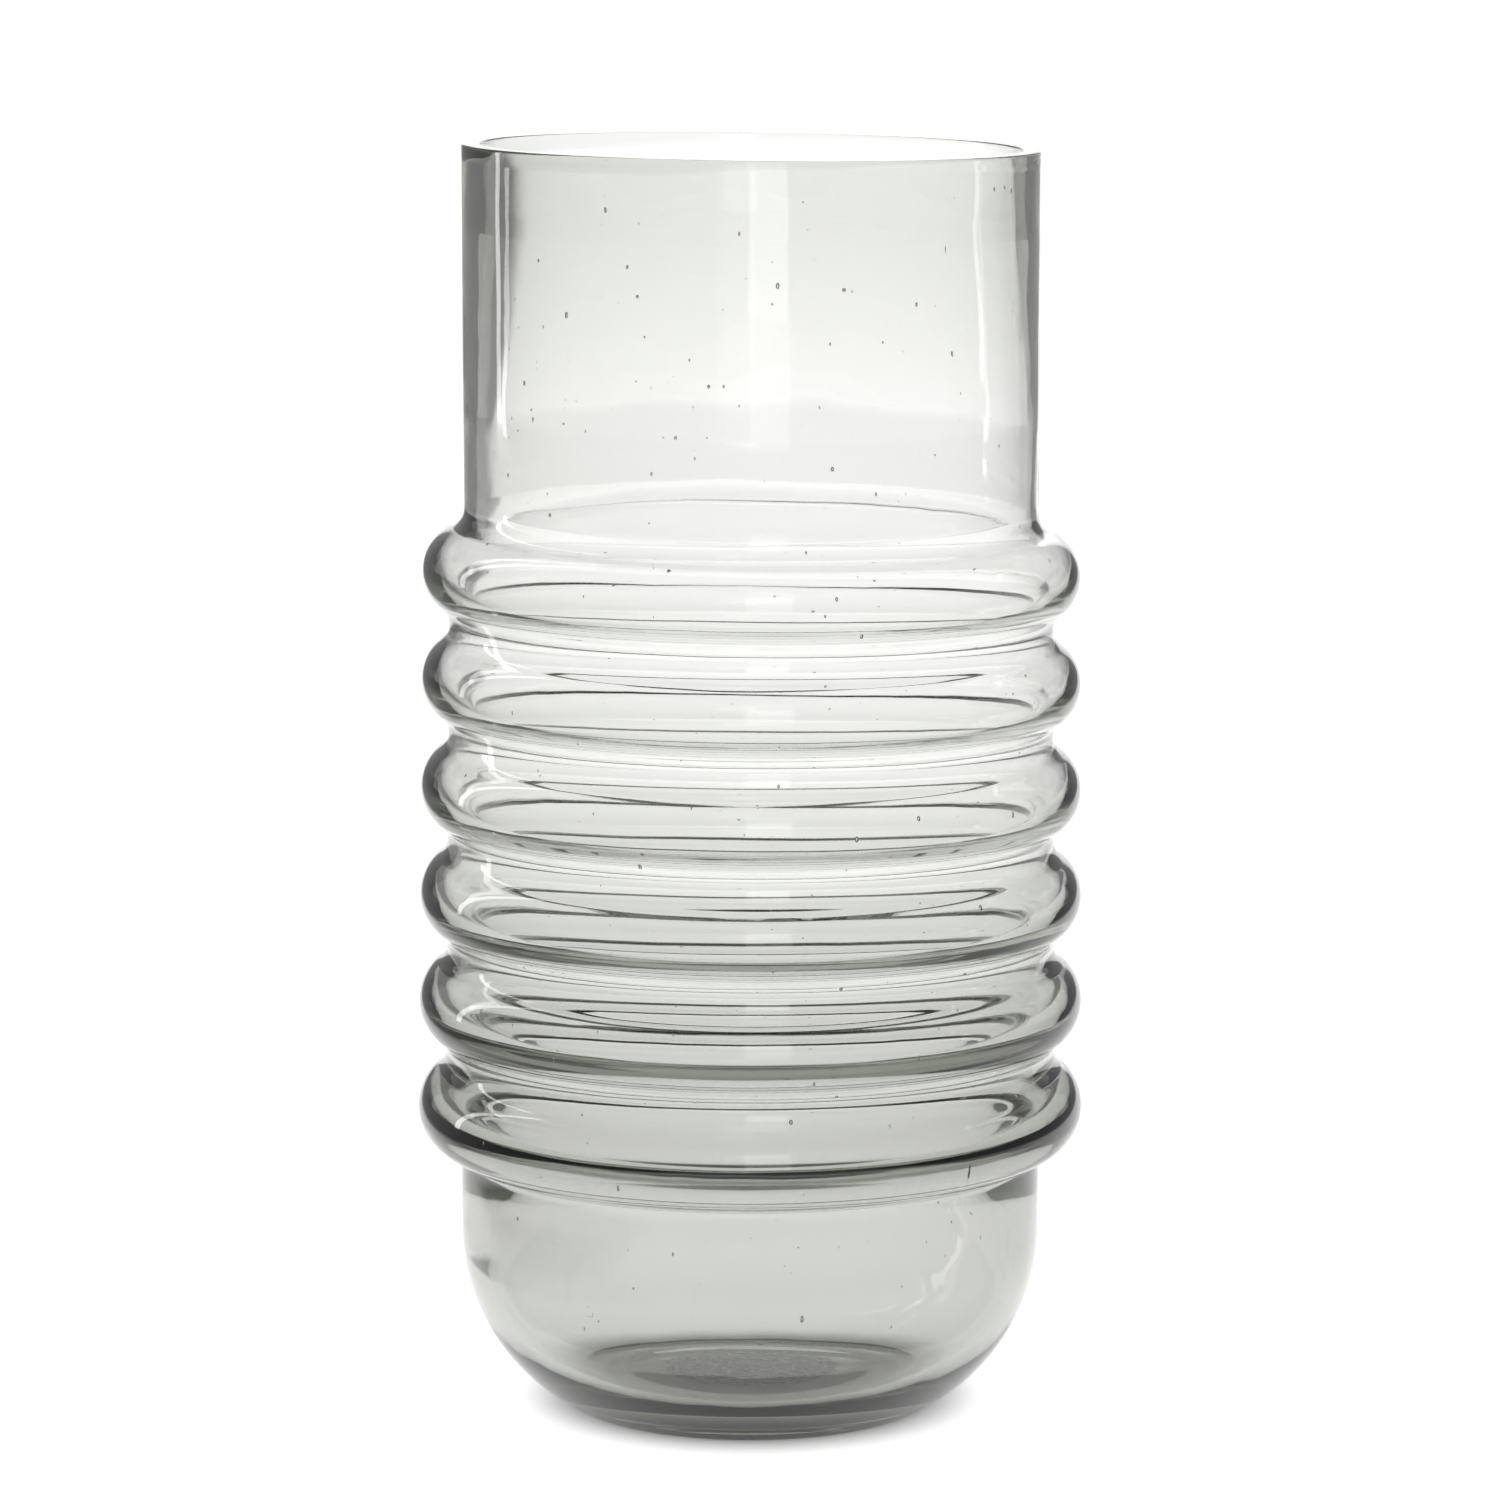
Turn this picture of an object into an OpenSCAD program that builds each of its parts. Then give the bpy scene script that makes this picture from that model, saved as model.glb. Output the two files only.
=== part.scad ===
// Ribbed glass cylinder vase, blown in one piece.
// The origin is at the middle of the foot, and +Z runs up the axis to the rim.
// Every wall is an outline of straight lines and true arcs, turned about that axis.

/* [Overall] */
// Height from the foot to the rim
height = 306.5; // [300:0.5:320]

/* [Neck] */
// Outer diameter of the straight neck
neck_d = 138.5; // [136:0.5:140]
// Bevel ground on both edges of the rim
rim_bevel = 0.6; // [0.2:0.1:1]
// Radius of the hollow curve where the neck flares into the top rib
shoulder_r = 4.8; // [4:0.1:6]

/* [Ribs] */
// Number of ribs
rib_count = 6; // [4:1:6]
// Outer diameter over the top rib
top_rib_d = 158.4; // [157:0.1:160]
// How much larger each rib's diameter is than the one above it
rib_growth = 0.68; // [0:0.02:0.8]
// Height from one rib's crest to the next
rib_pitch = 26.2; // [26:0.1:27]
// Depth from the rim to the top rib's crest
first_rib_depth = 102.1; // [98:0.1:106]
// Radius of a rib's crest in section
crest_r = 11; // [10.5:0.1:11.5]
// Radius of the groove between two ribs in section
groove_r = 5.5; // [5:0.1:6]

/* [Bowl] */
// Outer diameter of the bowl under the ribs
bowl_d = 141; // [140:0.5:142]
// Radius of the hollow curve between the lowest rib and the bowl
waist_r = 2.4; // [2:0.1:3]
// Radius of the same curve inside the vase
inner_waist_r = 30; // [11:0.5:32]
// Radius of the bowl's round side in section
side_r = 48.5; // [47:0.5:50]
// Radius of the round corner between the bowl's inside and its floor
inner_side_r = 32; // [24:0.5:38]

/* [Wall] */
// Thickness of the wall under the rim, where the mouth is narrowest
rim_wall = 4.6; // [4:0.1:5.2]
// Height of that thicker band, from the rim down
rim_band = 20; // [10:1:30]
// Height over which the band thins to the neck's wall
rim_taper = 45; // [20:1:50]
// Thickness of the neck's wall
neck_wall = 2.6; // [2:0.1:3.6]
// Thickness of the wall in the top rib
top_rib_wall = 2.6; // [2:0.1:3]
// Thickness of the wall in the lowest rib
last_rib_wall = 8.2; // [6:0.1:8.4]
// How late the wall thickens on its way down the ribs
wall_power = 2.2; // [2:0.1:5]
// How much higher the ribs sit on the inside of the wall
rib_lift = 1.2; // [0:0.1:2]
// How much wider the grooves are inside than an even wall would make them
groove_slack = 1.5; // [0:0.1:2]
// Thickness of the bowl's wall under the ribs, from where it thins towards the heel
bowl_wall = 7; // [6:0.1:8.4]

/* [Base] */
// Diameter of the flat foot
foot_d = 86.8; // [84:0.2:88]
// Radius of the heel between the foot and the bowl's side
heel_r = 4; // [3:0.1:5]
// Height of the inside's level floor above the surface that the vase stands on
floor_t = 6; // [5:0.1:8]
// Diameter of the hollow pushed up under the base
kick_d = 63; // [50:1:70]
// Height of that hollow
kick_h = 1.6; // [0.8:0.1:2]

/* [Hidden] */

arc_segments = 96;
turn_segments = 180;

// How far two pieces of one outline run into each other.
joint_overlap = 1;
// How far two arcs that blend run into each other, so that they cross at a clean point.
blend_overlap = 0.01;

// Section points are [radius, height].
neck_r = neck_d / 2;
bowl_r = bowl_d / 2;
foot_r = foot_d / 2;
last_rib = rib_count - 1;

// How far the inside of the wall lies from the outside at each rib, and no distance at all.
rib_walls = [
    for (i = [0 : last_rib])
        top_rib_wall + (last_rib_wall - top_rib_wall) * pow(i / last_rib, wall_power)
];
no_walls = [for (i = [0 : last_rib]) 0];

// The middle of a rib's crest arc, counted from the top rib, and the middle of the groove
// arc that blends into the crests above and below it.
function crest_centre(i, lift = 0) = [
    (top_rib_d + i * rib_growth) / 2 - crest_r,
    height - first_rib_depth - i * rib_pitch + lift
];
function groove_radius(i, insets, slack) = groove_r + (insets[i] + insets[i + 1]) / 2 + slack;
function groove_centre(i, insets, lift, slack) =
    let (
        across = crest_centre(i + 1) - crest_centre(i),
        gap = norm(across),
        blend_r = crest_r + groove_radius(i, insets, slack) - blend_overlap,
        from_upper = blend_r - insets[i],
        from_lower = blend_r - insets[i + 1],
        along = (pow(gap, 2) + pow(from_upper, 2) - pow(from_lower, 2)) / (2 * gap),
        out = sqrt(pow(from_upper, 2) - pow(along, 2))
    )
    crest_centre(i, lift) + (along * across + out * [-across[1], across[0]]) / gap;

// Height between a crest's middle and the middle of an arc that joins it to a straight wall.
function blend_rise(crest, arc, wall_r, centre) =
    sqrt(pow(crest + arc - blend_overlap, 2) - pow(wall_r + arc - centre[0], 2));

// A disc's slice between the level line and the line through another point.
module side_slice(r, towards) {
    intersection() {
        circle(r, $fn = arc_segments);
        polygon([[0, 0], [2 * r, 0], 2 * r * towards / norm(towards)]);
    }
}

// The stack of ribs as a solid outline from the axis to one face of the wall. The inside
// face has smaller crests about middles that are lifted, and wider grooves between them.
module rib_stack(insets, lift, slack, neck, neck_top, shoulder, bowl, waist) {
    first = crest_centre(0, lift);
    last = crest_centre(last_rib, lift);
    top = first[1] + blend_rise(crest_r - insets[0], shoulder, neck, first);
    bottom = last[1] - blend_rise(crest_r - insets[last_rib], waist, bowl, last);
    grooves = [for (i = [0 : last_rib - 1]) groove_centre(i, insets, lift, slack)];
    difference() {
        polygon(concat(
            [[0, bottom], [bowl + waist, bottom]],
            [for (i = [last_rib : -1 : 1]) each [crest_centre(i, lift), grooves[i - 1]]],
            [first, [neck + shoulder, top], [0, top]]
        ));
        translate([neck + shoulder, top])
            circle(shoulder, $fn = arc_segments);
        for (i = [0 : last_rib - 1])
            translate(grooves[i])
                circle(groove_radius(i, insets, slack), $fn = arc_segments);
        translate([bowl + waist, bottom])
            circle(waist, $fn = arc_segments);
    }
    for (i = [0 : last_rib])
        translate(crest_centre(i, lift))
            circle(crest_r - insets[i], $fn = arc_segments);
    // Straight neck above the ribs.
    translate([0, top])
        square([neck, neck_top - top]);
    // Start of the straight wall below them.
    translate([0, bottom - joint_overlap])
        square([bowl, joint_overlap]);
}

// The inside of the neck from its straight part up to the thicker band under the rim.
module neck_taper(neck_in, rim_in, low) {
    polygon([
        [0, low - joint_overlap],
        [neck_in, low - joint_overlap],
        [neck_in, low],
        [rim_in, height - rim_band],
        [rim_in, height - 2 * rim_bevel],
        [0, height - 2 * rim_bevel]
    ]);
}

// The bevelled end of the neck, which narrows outside and widens inside.
module rim_end(r, r_at_rim, rise) {
    start = height - 2 * rim_bevel - joint_overlap;
    polygon([
        [0, start],
        [r, start],
        [r, height - rim_bevel],
        [r_at_rim, height],
        [r_at_rim, height + rise],
        [0, height + rise]
    ]);
}

// Outline of the bowl's outside, from the foot to the straight wall under the ribs.
module bowl_outside(top) {
    heel = [foot_r, heel_r];
    side_x = bowl_r - side_r;
    reach = side_r - heel_r + blend_overlap;
    side_z = heel_r + sqrt(pow(reach, 2) - pow(foot_r - side_x, 2));
    side = [side_x, side_z];
    polygon([[0, 0], [foot_r, 0], heel, [bowl_r, side_z], [bowl_r, top], [0, top]]);
    translate(heel)
        circle(heel_r, $fn = arc_segments);
    translate(side)
        side_slice(side_r, heel - side);
}

// Outline of the bowl's inside, with a level floor in the middle.
module bowl_inside(top) {
    wall_r = bowl_r - bowl_wall;
    side = [wall_r - inner_side_r, floor_t + inner_side_r];
    polygon([[0, floor_t], [side[0], floor_t], [wall_r, side[1]], [wall_r, top], [0, top]]);
    translate(side)
        side_slice(inner_side_r, [0, -1]);
}

// The hollow under the base, which leaves a ring for the vase to stand on.
module kick() {
    kick_r = kick_d / 2;
    dome_r = (pow(kick_r, 2) + pow(kick_h, 2)) / (2 * kick_h);
    intersection() {
        translate([0, kick_h - dome_r])
            circle(dome_r, $fn = 10 * arc_segments);
        translate([0, -joint_overlap])
            square([2 * kick_r, kick_h + 2 * joint_overlap]);
    }
}

module outside() {
    last = crest_centre(last_rib);
    waist_z = last[1] - blend_rise(crest_r, waist_r, bowl_r, last);
    rib_stack(no_walls, 0, 0, neck_r, height - 2 * rim_bevel, shoulder_r, bowl_r, waist_r);
    rim_end(neck_r, neck_r - rim_bevel, 0);
    bowl_outside(waist_z);
}

module inside() {
    last = crest_centre(last_rib, rib_lift);
    wall_r = bowl_r - bowl_wall;
    waist_z = last[1] - blend_rise(crest_r - last_rib_wall, inner_waist_r, wall_r, last);
    neck_in = neck_r - neck_wall;
    rim_in = neck_r - rim_wall;
    taper_z = height - rim_band - rim_taper;
    shoulder_in = shoulder_r + neck_wall;
    rib_stack(
        rib_walls, rib_lift, groove_slack,
        neck_in, taper_z, shoulder_in,
        wall_r, inner_waist_r
    );
    neck_taper(neck_in, rim_in, taper_z);
    rim_end(rim_in, rim_in + rim_bevel, 1);
    bowl_inside(waist_z);
}

module glass_body() {
    color([0.62, 0.65, 0.62, 0.5])
        rotate_extrude($fn = turn_segments)
            difference() {
                outside();
                inside();
                kick();
            }
}

glass_body();
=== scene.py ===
"""A ribbed glass cylinder vase, blown in one piece, on a pale floor in soft studio light.

The wall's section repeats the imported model's dimensions. It is turned about the vertical
axis into one closed shell, and then bent a little, as glass that was worked by hand is.
"""

import math
import random

import bmesh
import bpy
import numpy as np
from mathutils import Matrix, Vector


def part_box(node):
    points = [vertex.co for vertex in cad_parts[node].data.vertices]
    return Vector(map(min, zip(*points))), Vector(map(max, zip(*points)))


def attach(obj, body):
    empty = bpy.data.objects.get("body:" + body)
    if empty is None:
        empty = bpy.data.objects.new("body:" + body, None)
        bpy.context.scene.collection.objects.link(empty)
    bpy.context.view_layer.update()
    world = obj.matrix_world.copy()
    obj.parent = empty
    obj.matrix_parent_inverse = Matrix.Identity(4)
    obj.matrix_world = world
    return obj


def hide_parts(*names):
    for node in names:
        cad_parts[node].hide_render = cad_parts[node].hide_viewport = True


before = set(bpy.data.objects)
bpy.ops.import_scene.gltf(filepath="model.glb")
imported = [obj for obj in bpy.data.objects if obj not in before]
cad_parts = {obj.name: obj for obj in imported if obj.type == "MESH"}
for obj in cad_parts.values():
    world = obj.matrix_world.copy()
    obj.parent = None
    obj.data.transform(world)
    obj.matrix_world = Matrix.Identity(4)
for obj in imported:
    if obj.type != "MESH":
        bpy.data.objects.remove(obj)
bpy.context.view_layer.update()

MM = 0.001
BOX_LOW, BOX_HIGH = [Vector(corner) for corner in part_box("glass_body")]

# ---------------------------------------------------------------- section, in metres
HEIGHT = BOX_HIGH.z - BOX_LOW.z
LAST_RIB_R = (BOX_HIGH.x - BOX_LOW.x) / 2

NECK_R = 69.25 * MM
NECK_WALL = 2.6 * MM
RIM_WALL = 4.6 * MM
RIM_BAND = 20.0 * MM
RIM_TAPER = 45.0 * MM
RIM_EDGE_R = 0.6 * MM
SHOULDER_R = 4.8 * MM

RIB_COUNT = 6
LAST_RIB = RIB_COUNT - 1
TOP_RIB_R = 79.2 * MM
TOP_RIB_DEPTH = 102.1 * MM
RIB_PITCH = 26.2 * MM
CREST_R = 11.0 * MM
GROOVE_R = 5.5 * MM
TOP_RIB_WALL = 2.6 * MM
LAST_RIB_WALL = 8.2 * MM
WALL_POWER = 2.2
# Inside the vase the ribs sit a little higher, and the grooves between them are wider.
INNER_RIB_LIFT = 1.2 * MM
GROOVE_SLACK = 1.5 * MM

BOWL_R = 70.5 * MM
BOWL_WALL = 7.0 * MM
WAIST_R = 2.4 * MM
INNER_WAIST_R = 30.0 * MM
SIDE_R = 48.5 * MM
INNER_SIDE_R = 32.0 * MM

FOOT_R = 43.4 * MM
HEEL_R = 4.0 * MM
FLOOR_T = 6.0 * MM
KICK_R = 31.5 * MM
KICK_H = 1.6 * MM

# ---------------------------------------------------------------- mesh density
TURN_STEPS = 288
ARC_STEP = 0.8 * MM
WALL_STEP = 2.0 * MM


def arc(centre, start, end, step=ARC_STEP):
    """Points from start up to, but without, end, the short way round a circle."""
    radius = (start - centre).length
    first = math.atan2(start.y - centre.y, start.x - centre.x)
    last = math.atan2(end.y - centre.y, end.x - centre.x)
    sweep = (last - first + math.pi) % math.tau - math.pi
    count = max(2, math.ceil(abs(sweep) * radius / step))
    angles = [first + sweep * k / count for k in range(count)]
    return [centre + radius * Vector((math.cos(a), math.sin(a))) for a in angles]


def line(start, end, step=WALL_STEP):
    """Points from start up to, but without, end, on a straight line."""
    count = max(1, math.ceil((end - start).length / step))
    return [start.lerp(end, k / count) for k in range(count)]


def crest_centre(i, lift):
    growth = (LAST_RIB_R - TOP_RIB_R) / LAST_RIB
    return Vector((
        TOP_RIB_R + i * growth - CREST_R,
        HEIGHT - TOP_RIB_DEPTH - i * RIB_PITCH + lift,
    ))


def groove_circle(upper_circle, lower_circle, radius):
    """The groove's circle, which touches the crests above and below it."""
    (upper, upper_r), (lower, lower_r) = upper_circle, lower_circle
    across = lower - upper
    gap = across.length
    from_upper = upper_r + radius
    from_lower = lower_r + radius
    along = (gap**2 + from_upper**2 - from_lower**2) / (2 * gap)
    out = math.sqrt(from_upper**2 - along**2)
    return upper + (along * across + out * Vector((-across.y, across.x))) / gap, radius


def wall_blend(centre, crest, wall_r, radius, side):
    """Middle of the arc between a crest and a straight wall above (1) or below (-1) it."""
    rise = math.sqrt((crest + radius)**2 - (wall_r + radius - centre.x)**2)
    return Vector((wall_r + radius, centre.y + side * rise))


def ribbed_face(insets, lift, slack, neck_r, shoulder_r, bowl_r, waist_r):
    """One face of the wall, from the bowl's straight wall up to the neck's."""
    crests = [(crest_centre(i, lift), CREST_R - insets[i]) for i in range(RIB_COUNT)]
    waist = wall_blend(*crests[LAST_RIB], bowl_r, waist_r, -1)
    shoulder = wall_blend(*crests[0], neck_r, shoulder_r, 1)
    circles = [(waist, waist_r)]
    for i in range(LAST_RIB, 0, -1):
        groove_r = GROOVE_R + (insets[i - 1] + insets[i]) / 2 + slack
        circles += [crests[i], groove_circle(crests[i - 1], crests[i], groove_r)]
    circles += [crests[0], (shoulder, shoulder_r)]

    ends = [Vector((bowl_r, waist.y))]
    for (a, a_r), (b, b_r) in zip(circles, circles[1:]):
        ends.append(a.lerp(b, a_r / (a_r + b_r)))
    ends.append(Vector((neck_r, shoulder.y)))

    points = []
    for (centre, _), start, end in zip(circles, ends, ends[1:]):
        points += arc(centre, start, end)
    return points + [ends[-1]]


def base_and_side():
    """The underside, the foot and the outside of the bowl, from the axis outwards."""
    dome_r = (KICK_R**2 + KICK_H**2) / (2 * KICK_H)
    dome = Vector((0, KICK_H - dome_r))
    heel = Vector((FOOT_R, HEEL_R))
    side_x = BOWL_R - SIDE_R
    side = Vector((side_x, HEEL_R + math.sqrt((SIDE_R - HEEL_R)**2 - (FOOT_R - side_x)**2)))
    heel_end = side + (heel - side).normalized() * SIDE_R
    points = arc(dome, Vector((0, KICK_H)), Vector((KICK_R, 0)))
    points += line(Vector((KICK_R, 0)), Vector((FOOT_R, 0)))
    points += arc(heel, Vector((FOOT_R, 0)), heel_end)
    points += arc(side, heel_end, Vector((BOWL_R, side.y)))
    return points + [Vector((BOWL_R, side.y))]


def inner_bowl():
    """The floor and the inside of the bowl, from the axis outwards."""
    wall_r = BOWL_R - BOWL_WALL
    side = Vector((wall_r - INNER_SIDE_R, FLOOR_T + INNER_SIDE_R))
    floor_end = Vector((side.x, FLOOR_T))
    points = line(Vector((0, FLOOR_T)), floor_end)
    points += arc(side, floor_end, Vector((wall_r, side.y)))
    return points + [Vector((wall_r, side.y))]


def rim():
    """The ground rim with its two softened edges, from the outside to the inside."""
    outer = Vector((NECK_R - RIM_EDGE_R, HEIGHT - RIM_EDGE_R))
    inner = Vector((NECK_R - RIM_WALL + RIM_EDGE_R, HEIGHT - RIM_EDGE_R))
    lift = Vector((0, RIM_EDGE_R))
    reach = Vector((RIM_EDGE_R, 0))
    points = arc(outer, outer + reach, outer + lift, RIM_EDGE_R / 4)
    points += line(outer + lift, inner + lift, 0.6 * MM)
    points += arc(inner, inner + lift, inner - reach, RIM_EDGE_R / 4)
    return points + [inner - reach]


def inner_neck():
    """The thicker band under the rim and the taper below it, from the top down."""
    band_end = Vector((NECK_R - RIM_WALL, HEIGHT - RIM_BAND))
    taper_end = Vector((NECK_R - NECK_WALL, HEIGHT - RIM_BAND - RIM_TAPER))
    return line(band_end, taper_end) + [taper_end]


def joined(*stretches):
    """The stretches one after another, with straight walls where they don't meet."""
    points = list(stretches[0])
    for stretch in stretches[1:]:
        gap = (stretch[0] - points[-1]).length
        if gap > WALL_STEP:
            points += line(points[-1], stretch[0])[1:]
        if gap < MM / 100:
            stretch = stretch[1:]
        points += stretch
    return points


def section():
    """The wall's whole section, and the number of its points that lie outside."""
    rib_walls = [
        TOP_RIB_WALL + (LAST_RIB_WALL - TOP_RIB_WALL) * (i / LAST_RIB)**WALL_POWER
        for i in range(RIB_COUNT)
    ]
    outer = ribbed_face([0] * RIB_COUNT, 0, 0, NECK_R, SHOULDER_R, BOWL_R, WAIST_R)
    inner = ribbed_face(
        rib_walls,
        INNER_RIB_LIFT,
        GROOVE_SLACK,
        NECK_R - NECK_WALL,
        SHOULDER_R + NECK_WALL,
        BOWL_R - BOWL_WALL,
        INNER_WAIST_R,
    )
    outside = joined(base_and_side(), outer, rim())
    inside = joined(rim()[-1:], inner_neck(), inner[::-1], inner_bowl()[::-1])[1:]
    return outside + inside, len(outside)


# ---------------------------------------------------------------- hand-worked unevenness
RIM_DROP = 0.85 * MM
NECK_LEAN = 0.35 * MM
WALL_SHIFT = 0.5 * MM
OUTER_WAVE = 0.07 * MM
INNER_WAVE = 0.16 * MM
# Each wave runs some whole number of times round the vase and along a length in height.
WAVES = [
    (2, 171 * MM, 0.3),
    (3, 97 * MM, 1.9),
    (5, 61 * MM, 4.1),
    (7, 43 * MM, 2.6),
    (11, 29 * MM, 5.2),
]
# How far the waves inside the vase are turned from those outside.
INNER_WAVE_TURN = 2.2
# The waves die out within this radius of the axis.
CALM_R = 20 * MM
# Between these heights the lean and the drop of the rim grow to their full size.
LEAN_START = 60 * MM
LEAN_END = 215 * MM


def smooth(low, high, value):
    t = np.clip((value - low) / (high - low), 0, 1)
    return t * t * (3 - 2 * t)


def wave(angle, height, turn):
    """A soft wave over the surface, between 0 and 1."""
    total = sum(
        np.sin(count * angle + phase + turn) * np.sin(math.tau * height / length + 2 * phase - turn)
        for count, length, phase in WAVES
    )
    return 0.5 + 0.5 * total / len(WAVES)


def uneven(points, inside):
    """Where points of the perfect shell lie on the blown one; inside is 1 on the inner face."""
    x, y, z = points.T
    radius = np.maximum(np.hypot(x, y), MM / 10)
    angle = np.arctan2(y, x)
    up_ribs = smooth(LEAN_START, LEAN_END, z)
    depth = OUTER_WAVE + (INNER_WAVE - OUTER_WAVE) * inside
    change = -depth * wave(angle, z, INNER_WAVE_TURN * inside)
    scale = 1 + change / radius * smooth(0, CALM_R, radius)
    shift = (NECK_LEAN + WALL_SHIFT * inside) * up_ribs
    drop = RIM_DROP * up_ribs * (1 + x / radius)
    return np.stack([x * scale + shift, y * scale, z - drop], axis=1)


# ---------------------------------------------------------------- the shell
def turned(points):
    """Corners and faces of the section turned about the axis into a closed shell."""
    angles = math.tau * np.arange(TURN_STEPS) / TURN_STEPS
    middle = np.array([(p.x, p.y) for p in points[1:-1]])
    rings = np.stack([
        np.outer(middle[:, 0], np.cos(angles)),
        np.outer(middle[:, 0], np.sin(angles)),
        np.repeat(middle[:, 1:], TURN_STEPS, axis=1),
    ], axis=2).reshape(-1, 3)
    corners = np.vstack([[(0, 0, points[0].y)], rings, [(0, 0, points[-1].y)]])
    faces = []
    last = len(corners) - 1
    last_ring = last - TURN_STEPS
    for k in range(TURN_STEPS):
        n = (k + 1) % TURN_STEPS
        faces.append((0, 1 + n, 1 + k))
        faces.append((last, last_ring + k, last_ring + n))
        for ring in range(1, last_ring, TURN_STEPS):
            above = ring + TURN_STEPS
            faces.append((ring + k, ring + n, above + n, above + k))
    return corners, faces


# ---------------------------------------------------------------- air seeds in the glass
SEED_COUNT = 700
SEED_SMALL = 0.10 * MM
SEED_LARGE = 0.45 * MM
# A high power leaves most seeds near the small size.
SEED_RARITY = 4
# Seeds lie in this share of the wall's thickness, and some are drawn out upwards.
SEED_DEPTHS = (0.3, 0.7)
SEED_STRETCHES = (1.0, 2.2)
SEED_LOWEST = 30 * MM
SEED_BELOW_RIM = 6 * MM
SEED_RANDOM = 20


def wall_radii(section_points, outside, height):
    """Radii of the outer and the inner face of the wall at one height."""
    def radius(face):
        near = [p for p in face if abs(p.y - height) < WALL_STEP]
        return min(near, key=lambda p: abs(p.y - height)).x
    return radius(section_points[:outside]), radius(section_points[outside:])


def seeds(section_points, outside):
    """Small closed bubbles inside the wall, which face inwards as the glass does."""
    ball = bmesh.new()
    bmesh.ops.create_icosphere(ball, subdivisions=2, radius=1)
    shape = np.array([vert.co for vert in ball.verts])
    shape_faces = [[vert.index for vert in reversed(face.verts)] for face in ball.faces]
    ball.free()
    rng = random.Random(SEED_RANDOM)
    corners, faces = [], []
    for _ in range(SEED_COUNT):
        height = rng.uniform(SEED_LOWEST, HEIGHT - SEED_BELOW_RIM)
        angle = rng.uniform(0, math.tau)
        depth = rng.uniform(*SEED_DEPTHS)
        size = SEED_SMALL + (SEED_LARGE - SEED_SMALL) * rng.random()**SEED_RARITY
        stretch = rng.uniform(*SEED_STRETCHES)
        outer_r, inner_r = wall_radii(section_points, outside, height)
        radius = outer_r + (inner_r - outer_r) * depth
        place = np.array([[radius * math.cos(angle), radius * math.sin(angle), height]])
        first = len(corners) * len(shape)
        corners.append(uneven(place, depth) + shape * size * (1, 1, stretch))
        faces += [[first + index for index in face] for face in shape_faces]
    return np.vstack(corners), faces


def make_shell():
    points, outside = section()
    corners, faces = turned(points)
    inside = np.zeros(len(corners))
    inside[1 + (outside - 1) * TURN_STEPS:] = 1
    corners = uneven(corners, inside)
    seed_corners, seed_faces = seeds(points, outside)
    faces += [[len(corners) + index for index in face] for face in seed_faces]
    data = bpy.data.meshes.new("vase_shell")
    data.from_pydata(np.vstack([corners, seed_corners]), [], faces)
    data.shade_smooth()
    shell = bpy.data.objects.new("vase_shell", data)
    bpy.context.collection.objects.link(shell)
    return shell


# ---------------------------------------------------------------- mark under the base
MARK_R = 21.5 * MM
MARK_RAGGED = 1.2 * MM
MARK_HEIGHT = 2.6 * MM
MARK_T = 0.3 * MM
MARK_RELIEF = 0.25 * MM
MARK_RIPPLE = 3.6 * MM
# How far the ripples wander in and out, and over what radius they curl round once.
MARK_WANDER = 1.4 * MM
MARK_CURL = 4 * MM
# Each tear in the edge repeats some whole number of times, from an angle.
MARK_TEARS = [(5, 1), (9, 4), (17, 0)]
MARK_RINGS = 26
MARK_STEPS = 120


def mark_face(height):
    """Corners of one face of the mark: its middle, and rings out to a ragged edge."""
    angles = math.tau * np.arange(MARK_STEPS) / MARK_STEPS
    ragged = sum(np.sin(count * angles + start) for count, start in MARK_TEARS)
    edge = MARK_R + MARK_RAGGED * ragged / len(MARK_TEARS)
    share = np.arange(1, MARK_RINGS + 1)[:, None] / MARK_RINGS
    radius = edge * share
    swirl = radius + MARK_WANDER * np.sin(3 * angles + radius / MARK_CURL)
    ripples = np.sin(math.tau * swirl / MARK_RIPPLE)
    z = height + MARK_RELIEF * ripples * (1 - share**4)
    rings = np.stack([radius * np.cos(angles), radius * np.sin(angles), z], axis=2)
    return np.vstack([[(0, 0, height)], rings.reshape(-1, 3)])


def make_mark():
    """The rough mark where the vase was held, a thin torn skin just inside the base."""
    count = 1 + MARK_RINGS * MARK_STEPS
    corners = np.vstack([mark_face(MARK_HEIGHT), mark_face(MARK_HEIGHT - MARK_T)])
    faces = []
    for k in range(MARK_STEPS):
        n = (k + 1) % MARK_STEPS
        faces.append((0, 1 + k, 1 + n))
        faces.append((count, count + 1 + n, count + 1 + k))
        for ring in range(1, count - MARK_STEPS, MARK_STEPS):
            out = ring + MARK_STEPS
            faces.append((ring + k, out + k, out + n, ring + n))
            faces.append((count + ring + n, count + out + n, count + out + k, count + ring + k))
        top, low = count - MARK_STEPS, 2 * count - MARK_STEPS
        faces.append((top + k, low + k, low + n, top + n))
    mesh = bpy.data.meshes.new("held_mark")
    mesh.from_pydata(corners.tolist(), [], faces)
    mesh.shade_smooth()
    mark = bpy.data.objects.new("held_mark", mesh)
    bpy.context.collection.objects.link(mark)
    return mark


# ---------------------------------------------------------------- materials
GLASS_IOR = 1.52
# Red, green and blue light are absorbed at ABSORPTION * (1 - colour), per metre of glass.
ABSORPTION = 49.0
ABSORPTION_COLOR = (0.105, 0.137, 0.034, 1)
WAVE_BUMP = 0.06 * MM
MARK_DARK = (0.01, 0.01, 0.008, 1)
MARK_LIGHT = (0.85, 0.85, 0.78, 1)
MARK_BUMP = 0.3 * MM


def new_material(name):
    material = bpy.data.materials.new(name)
    material.use_nodes = True
    return material, material.node_tree


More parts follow.
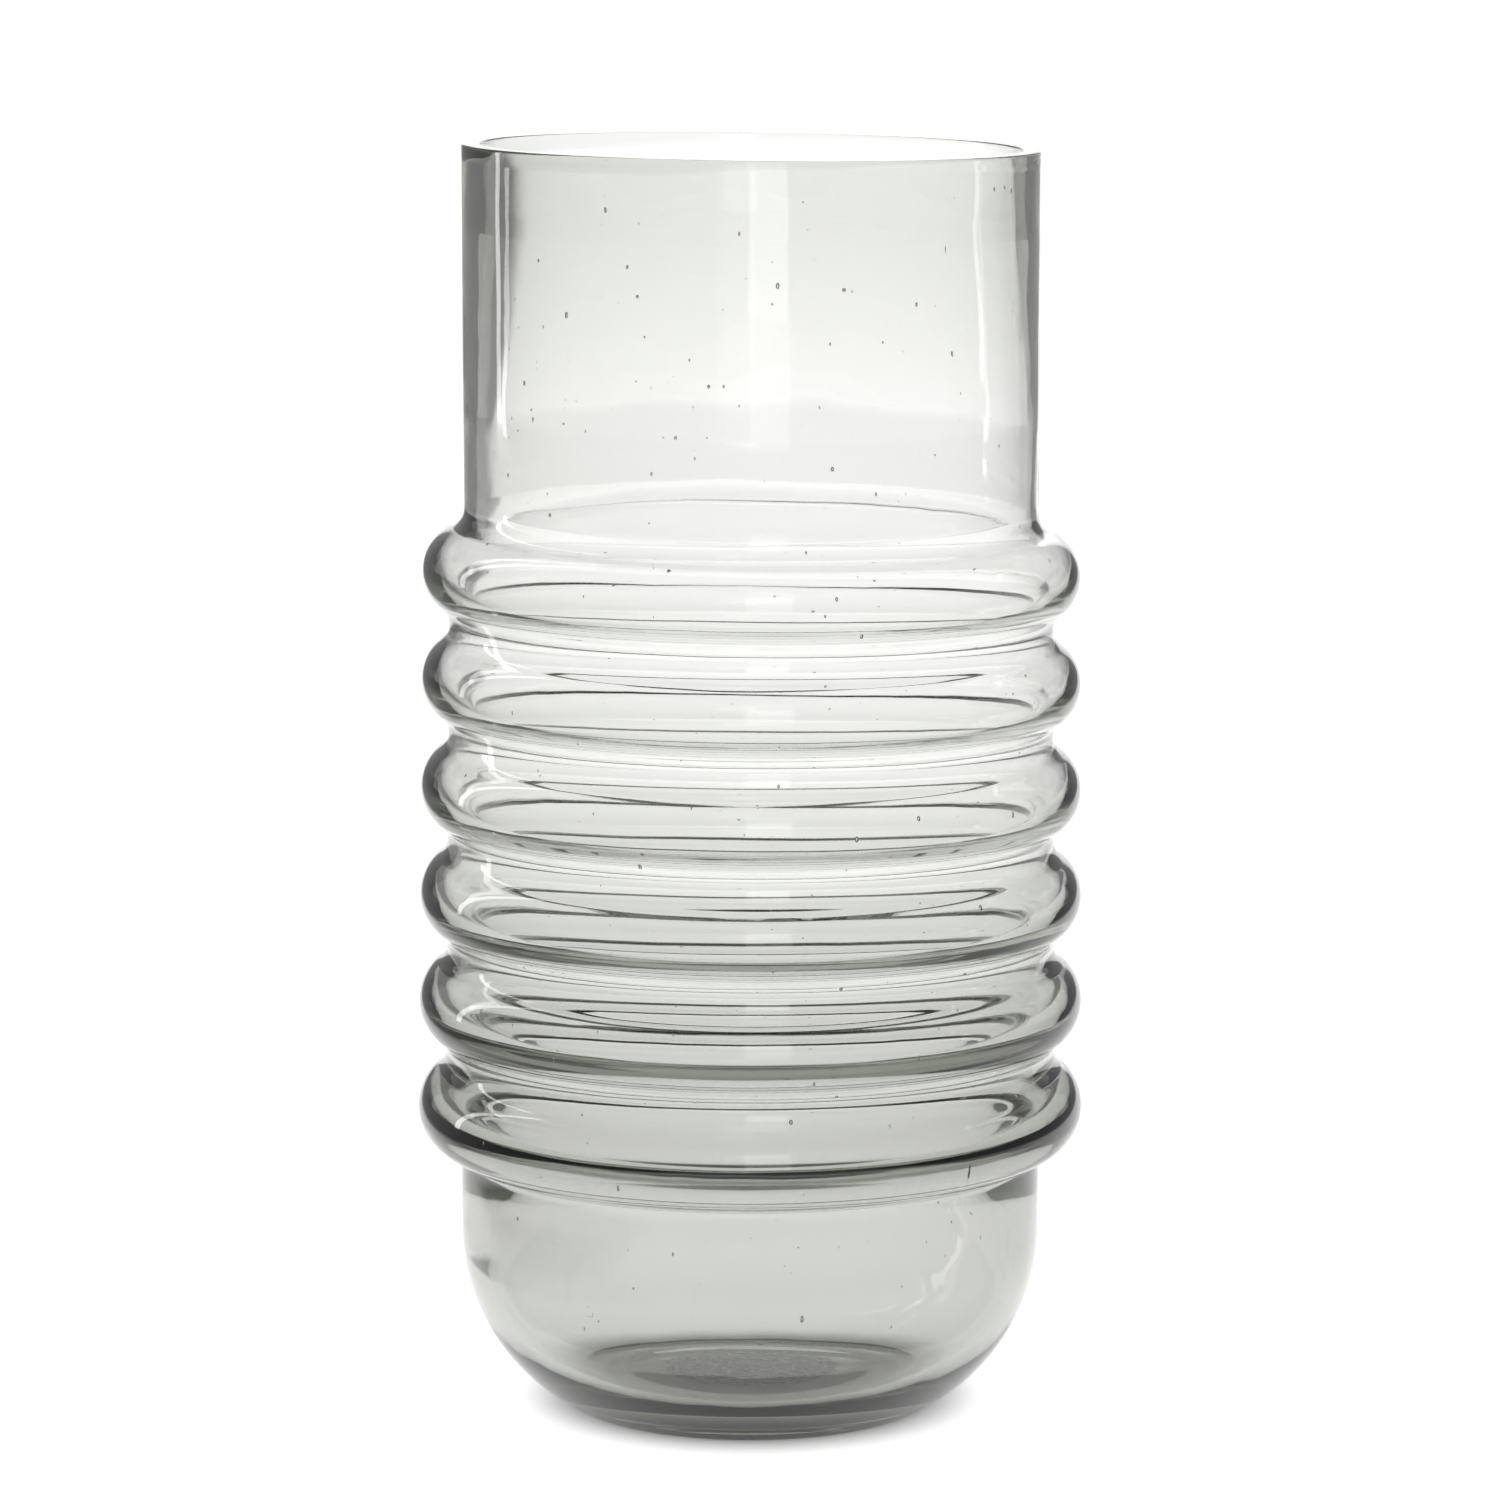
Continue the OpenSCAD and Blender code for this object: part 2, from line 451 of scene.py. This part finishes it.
def maths(tree, operation, first, second):
    """A Math node on two inputs, each a socket or a number."""
    node = tree.nodes.new("ShaderNodeMath")
    node.operation = operation
    for socket, value in zip(node.inputs, (first, second)):
        if isinstance(value, bpy.types.NodeSocket):
            tree.links.new(value, socket)
        else:
            socket.default_value = value
    return node.outputs["Value"]


def blended(tree, value, start, end):
    """A smooth step from 0 to 1 as the value goes from start to end."""
    node = tree.nodes.new("ShaderNodeMapRange")
    node.interpolation_type = "SMOOTHSTEP"
    node.inputs["From Min"].default_value = start
    node.inputs["From Max"].default_value = end
    tree.links.new(value, node.inputs["Value"])
    return node.outputs["Result"]


def add_bump(tree, height, distance):
    bump = tree.nodes.new("ShaderNodeBump")
    bump.inputs["Distance"].default_value = distance
    tree.links.new(height, bump.inputs["Height"])
    tree.links.new(bump.outputs["Normal"], tree.nodes["Principled BSDF"].inputs["Normal"])


def noise(tree, scale, detail, distortion=0):
    node = tree.nodes.new("ShaderNodeTexNoise")
    node.inputs["Scale"].default_value = scale
    node.inputs["Detail"].default_value = detail
    node.inputs["Distortion"].default_value = distortion
    coordinates = tree.nodes.new("ShaderNodeTexCoord")
    tree.links.new(coordinates.outputs["Object"], node.inputs["Vector"])
    return node.outputs["Fac"]


def glass():
    """Clear glass whose tint comes from its thickness, with the faint ripple of blown glass."""
    material, tree = new_material("smoke_glass")
    shader = tree.nodes["Principled BSDF"]
    shader.inputs["Base Color"].default_value = (1, 1, 1, 1)
    shader.inputs["Transmission Weight"].default_value = 1
    shader.inputs["IOR"].default_value = GLASS_IOR
    shader.inputs["Roughness"].default_value = 0
    add_bump(tree, noise(tree, 70, 1), WAVE_BUMP)
    volume = tree.nodes.new("ShaderNodeVolumeAbsorption")
    volume.inputs["Color"].default_value = ABSORPTION_COLOR
    volume.inputs["Density"].default_value = ABSORPTION
    tree.links.new(volume.outputs["Volume"], tree.nodes["Material Output"].inputs["Volume"])
    return material


def mark_material():
    """Dull grey grit, with pale torn streaks that curl round the middle."""
    material, tree = new_material("held_mark")
    shader = tree.nodes["Principled BSDF"]
    shader.inputs["Roughness"].default_value = 0.7
    shader.inputs["Specular IOR Level"].default_value = 0.1
    streaks = tree.nodes.new("ShaderNodeTexWave")
    streaks.wave_type = "RINGS"
    streaks.rings_direction = "Z"
    streaks.inputs["Scale"].default_value = 90
    streaks.inputs["Distortion"].default_value = 9
    streaks.inputs["Detail"].default_value = 4
    streaks.inputs["Detail Scale"].default_value = 1.5
    coordinates = tree.nodes.new("ShaderNodeTexCoord")
    tree.links.new(coordinates.outputs["Object"], streaks.inputs["Vector"])
    torn = blended(tree, noise(tree, 330, 5, 1.5), 0.50, 0.60)
    pale = maths(tree, "MULTIPLY", maths(tree, "POWER", streaks.outputs["Fac"], 2), torn)
    mix = tree.nodes.new("ShaderNodeMix")
    mix.data_type = "RGBA"
    mix.inputs["A"].default_value = MARK_DARK
    mix.inputs["B"].default_value = MARK_LIGHT
    tree.links.new(pale, mix.inputs["Factor"])
    tree.links.new(mix.outputs["Result"], shader.inputs["Base Color"])
    add_bump(tree, torn, MARK_BUMP)
    return material


def floor_material():
    material, tree = new_material("pale_floor")
    shader = tree.nodes["Principled BSDF"]
    shader.inputs["Base Color"].default_value = (0.86, 0.86, 0.86, 1)
    shader.inputs["Roughness"].default_value = 0.9
    shader.inputs["Specular IOR Level"].default_value = 0.1
    return material


def sweep_material():
    """White, glowing with a painted pool of light that widens with distance, fades at the front and
    skips the vase's foot, where it leaves a painted shadow."""
    material, tree = new_material("painted_light_sweep")
    coordinates = tree.nodes.new("ShaderNodeTexCoord").outputs["Object"]
    split = tree.nodes.new("ShaderNodeSeparateXYZ")
    tree.links.new(coordinates, split.inputs["Vector"])
    side, depth = split.outputs["X"], split.outputs["Y"]
    reach = maths(tree, "ADD", maths(tree, "MULTIPLY", depth, POOL_SPREAD), POOL_START)
    across = maths(tree, "DIVIDE", side, reach)
    left = blended(tree, across, -1 - POOL_EDGE, -1)
    right = blended(tree, across, POOL_RIGHT + POOL_EDGE, POOL_RIGHT)
    squares = [maths(tree, "POWER", maths(tree, "ABSOLUTE", axis, 0), 2) for axis in (side, depth)]
    radius = maths(tree, "SQRT", maths(tree, "ADD", *squares), 0)
    # Painted shadow: the glow fades out round the vase's foot.
    shadow = blended(tree, radius, FOOT_SHADOW[0], FOOT_SHADOW[1])
    front = blended(tree, depth, SWEEP_FRONT, SWEEP_FRONT + POOL_FADE)
    pool = maths(tree, "MULTIPLY", maths(tree, "MULTIPLY", left, right), shadow)
    pool = maths(tree, "MULTIPLY", pool, front)
    shader = tree.nodes["Principled BSDF"]
    shader.inputs["Base Color"].default_value = (0.85, 0.85, 0.85, 1)
    shader.inputs["Roughness"].default_value = 0.9
    shader.inputs["Specular IOR Level"].default_value = 0.1
    shader.inputs["Emission Color"].default_value = (1, 1, 1, 1)
    # The pool is painted light that the sweep gives off itself, not a lamp.
    light = maths(tree, "MULTIPLY", pool, POOL_LIGHT)
    tree.links.new(light, shader.inputs["Emission Strength"])
    return material


# ---------------------------------------------------------------- studio
FLOOR_R = 30.0
SWEEP_WIDTH = 8.0
SWEEP_FRONT = -0.6
SWEEP_BACK = 6.0
SWEEP_HEIGHT = 2.2
SWEEP_BEND_R = 1.0
SWEEP_BEND_STEPS = 12
# The sweep glows with a painted pool of light.
# Half the pool's width is POOL_START beside the vase and grows by POOL_SPREAD per metre. The
# right side reaches POOL_RIGHT times as far, and the front fades over POOL_FADE metres.
POOL_START = 0.19
POOL_SPREAD = 0.13
POOL_EDGE = 0.35
POOL_FADE = 0.4
POOL_RIGHT = 1.6
POOL_LIGHT = 0.92
# Painted shadow: between these radii the sweep's glow fades out round the vase's foot.
FOOT_SHADOW = (36 * MM, 62 * MM)
ROOM_HORIZON = 0.66
ROOM_CEILING = 0.12
# Each softbox has a place, a width and height, and a power in watts.
SOFTBOXES = [
    ((0.35, -3.2, 0.9), (0.9, 2.2), 9),
    ((-1.7, 0.9, 1.2), (0.14, 2.8), 5),
]
CAMERA_DISTANCE = 1.400
CAMERA_HEIGHT = 0.376
AIM_HEIGHT = 0.160
LENS = 140.5
SENSOR = 36.0


def add_stage(name, mesh, material):
    data = bpy.data.meshes.new(name)
    mesh.to_mesh(data)
    mesh.free()
    data.materials.append(material)
    stage = bpy.data.objects.new(name, data)
    bpy.context.collection.objects.link(stage)
    return stage


def make_floor():
    mesh = bmesh.new()
    bmesh.ops.create_circle(mesh, cap_ends=True, segments=96, radius=FLOOR_R)
    floor = add_stage("floor", mesh, floor_material())
    floor.location.z = BOX_LOW.z - 1 * MM


def make_sweep():
    """A white sheet that glows with painted light, lies under the vase and rises well behind it."""
    mesh = bmesh.new()
    half = SWEEP_WIDTH / 2
    bend = SWEEP_BACK - SWEEP_HEIGHT / 2
    profile = [(SWEEP_FRONT, 0), (bend, 0)]
    for k in range(1, SWEEP_BEND_STEPS + 1):
        turn = math.pi / 2 * k / SWEEP_BEND_STEPS
        profile.append((bend + SWEEP_BEND_R * math.sin(turn), SWEEP_BEND_R * (1 - math.cos(turn))))
    profile.append((bend + SWEEP_BEND_R, SWEEP_HEIGHT))
    rows = [
        [mesh.verts.new((side, y, z)) for side in (-half, half)]
        for y, z in profile
    ]
    for low, high in zip(rows, rows[1:]):
        mesh.faces.new([low[0], low[1], high[1], high[0]])
    sweep = add_stage("sweep", mesh, sweep_material())
    sweep.location.z = BOX_LOW.z - 0.05 * MM


def make_world():
    """A room that is darker towards its ceiling."""
    world = bpy.data.worlds.new("studio")
    world.use_nodes = True
    bpy.context.scene.world = world
    tree = world.node_tree
    coordinates = tree.nodes.new("ShaderNodeTexCoord")
    split = tree.nodes.new("ShaderNodeSeparateXYZ")
    ramp = tree.nodes.new("ShaderNodeValToRGB")
    tree.links.new(coordinates.outputs["Generated"], split.inputs["Vector"])
    tree.links.new(split.outputs["Z"], ramp.inputs["Fac"])
    tree.links.new(ramp.outputs["Color"], tree.nodes["Background"].inputs["Color"])
    for stop, level in zip(ramp.color_ramp.elements, (ROOM_HORIZON, ROOM_CEILING)):
        stop.color = (level, level, level, 1)


def make_softboxes():
    """A tall box behind the camera and a narrow strip at the back left, for soft glints."""
    for place, size, watts in SOFTBOXES:
        data = bpy.data.lights.new("softbox", "AREA")
        data.shape = "RECTANGLE"
        data.size, data.size_y = size
        data.energy = watts
        light = bpy.data.objects.new("softbox", data)
        light.location = place
        aim = Vector((0, 0, AIM_HEIGHT)) - light.location
        light.rotation_euler = aim.to_track_quat("-Z", "Y").to_euler()
        bpy.context.collection.objects.link(light)


def make_camera():
    data = bpy.data.cameras.new("camera")
    data.lens = LENS
    data.sensor_width = SENSOR
    camera = bpy.data.objects.new("camera", data)
    camera.location = (0, -CAMERA_DISTANCE, CAMERA_HEIGHT)
    aim = Vector((0, 0, AIM_HEIGHT)) - camera.location
    camera.rotation_euler = aim.to_track_quat("-Z", "Y").to_euler()
    bpy.context.collection.objects.link(camera)
    bpy.context.scene.camera = camera


def set_light_paths():
    """Clear glass needs more bounces than the default, and plain colours."""
    scene = bpy.context.scene
    scene.view_settings.view_transform = "Standard"
    scene.cycles.max_bounces = 32
    scene.cycles.transmission_bounces = 32
    scene.cycles.glossy_bounces = 16


make_camera()
make_world()
make_floor()
make_sweep()
make_softboxes()
set_light_paths()

shell = make_shell()
shell.data.materials.append(glass())
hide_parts("glass_body")
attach(shell, "root")

mark = make_mark()
mark.data.materials.append(mark_material())
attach(mark, "root")
